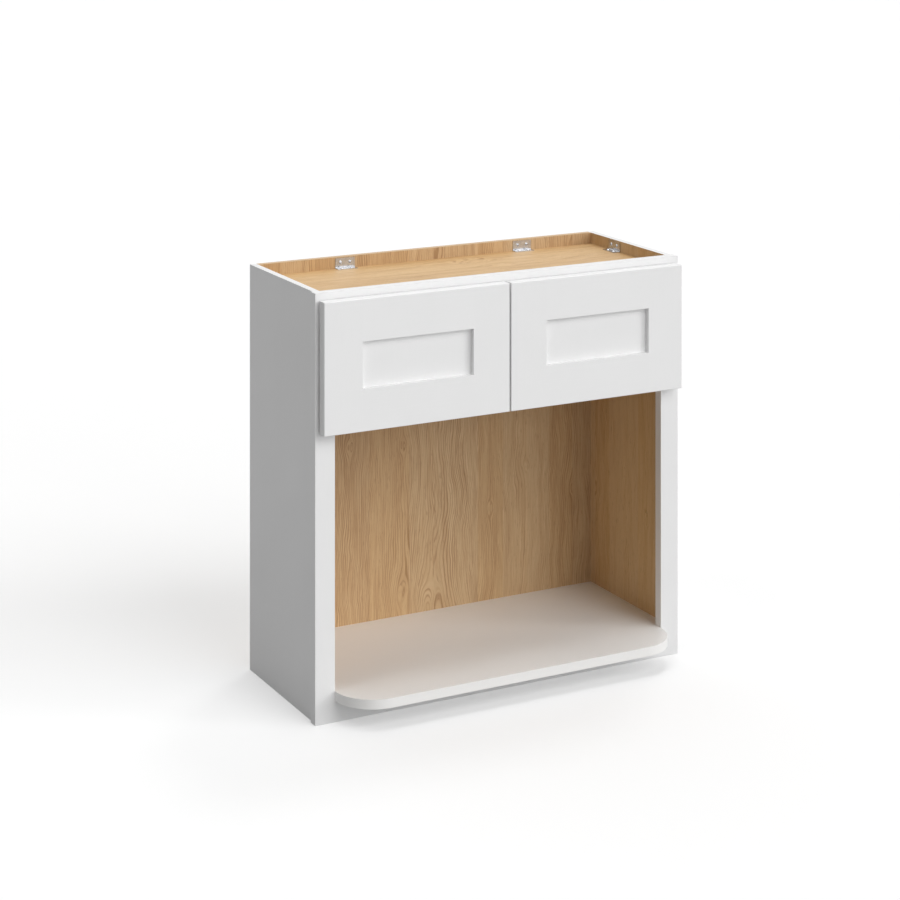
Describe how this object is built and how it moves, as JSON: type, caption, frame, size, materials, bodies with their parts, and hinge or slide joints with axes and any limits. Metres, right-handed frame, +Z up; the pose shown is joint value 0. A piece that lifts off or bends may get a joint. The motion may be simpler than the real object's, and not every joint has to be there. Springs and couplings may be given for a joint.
{
  "type": "microwave cabinet",
  "caption": "Framed kitchen wall cabinet: a two-door shaker cupboard over an open microwave bay whose bottom shelf reaches forward with rounded front corners.",
  "frame": {"origin": "centre of the base of the whole cabinet, microwave shelf included, on the plane of the bottom edge", "axes": "+Z up, +Y towards the wall, +X to the right as seen from the front"},
  "size_m": [0.762, 0.381, 0.762],
  "materials": {
    "frame_paint": "satin white paint on hardwood",
    "door_paint": "satin white paint on hardwood frame and flat panel",
    "shelf_paint": "satin white finish on plywood",
    "side_panel": "white outside and oak veneer inside, on plywood",
    "oak_veneer": "clear-coated oak veneer on plywood",
    "zinc_bracket": "bright zinc plate",
    "zinc_screws": "bright zinc plate",
    "hinge_nickel": "nickel plate",
    "hinge_pin": "plain steel",
    "hinge_screws": "nickel plate",
    "bumper": "clear soft plastic"
  },
  "bodies": {
    "cabinet": {"side_left": "side_panel", "side_right": "side_panel", "back_panel": "oak_veneer", "top_panel": "oak_veneer", "cupboard_floor": "oak_veneer", "microwave_shelf": "shelf_paint", "frame_stile_left": "frame_paint", "frame_stile_right": "frame_paint", "frame_rail_top": "frame_paint", "frame_rail_middle": "frame_paint", "frame_rail_bottom": "frame_paint", "bracket_top_back_left": "zinc_bracket", "bracket_top_back_right": "zinc_bracket", "bracket_top_side_left": "zinc_bracket", "bracket_top_side_right": "zinc_bracket", "bracket_bottom_back_left": "zinc_bracket", "bracket_bottom_back_right": "zinc_bracket", "bracket_bottom_side_left": "zinc_bracket", "bracket_bottom_side_right": "zinc_bracket", "bracket_screws_top": "zinc_screws", "bracket_screws_bottom": "zinc_screws", "hinge_arm_left_lower": "hinge_nickel", "hinge_arm_left_upper": "hinge_nickel", "hinge_arm_right_lower": "hinge_nickel", "hinge_arm_right_upper": "hinge_nickel", "hinge_plate_left_lower": "hinge_nickel", "hinge_plate_left_upper": "hinge_nickel", "hinge_plate_right_lower": "hinge_nickel", "hinge_plate_right_upper": "hinge_nickel", "hinge_plate_screws_left": "hinge_screws", "hinge_plate_screws_right": "hinge_screws"},
    "door_left": {"door_left_hinge_stile": "door_paint", "door_left_free_stile": "door_paint", "door_left_top_rail": "door_paint", "door_left_bottom_rail": "door_paint", "door_left_panel": "door_paint", "door_left_bumpers": "bumper", "hinge_cup_left_lower": "hinge_nickel", "hinge_cup_left_upper": "hinge_nickel", "hinge_pin_left_lower": "hinge_pin", "hinge_pin_left_upper": "hinge_pin", "hinge_cup_screws_left": "hinge_screws"},
    "door_right": {"door_right_hinge_stile": "door_paint", "door_right_free_stile": "door_paint", "door_right_top_rail": "door_paint", "door_right_bottom_rail": "door_paint", "door_right_panel": "door_paint", "door_right_bumpers": "bumper", "hinge_cup_right_lower": "hinge_nickel", "hinge_cup_right_upper": "hinge_nickel", "hinge_pin_right_lower": "hinge_pin", "hinge_pin_right_upper": "hinge_pin", "hinge_cup_screws_right": "hinge_screws"}
  },
  "joints": [
    {"name": "door_left_hinge", "type": "hinge", "parent": "cabinet", "child": "door_left", "pos_m": [-0.36645, -0.1265, 0.63182], "axis": [0, 0, -1], "range_deg": [0, 105]},
    {"name": "door_right_hinge", "type": "hinge", "parent": "cabinet", "child": "door_right", "pos_m": [0.36645, -0.1265, 0.63182], "axis": [0, 0, 1], "range_deg": [0, 105]}
  ]
}
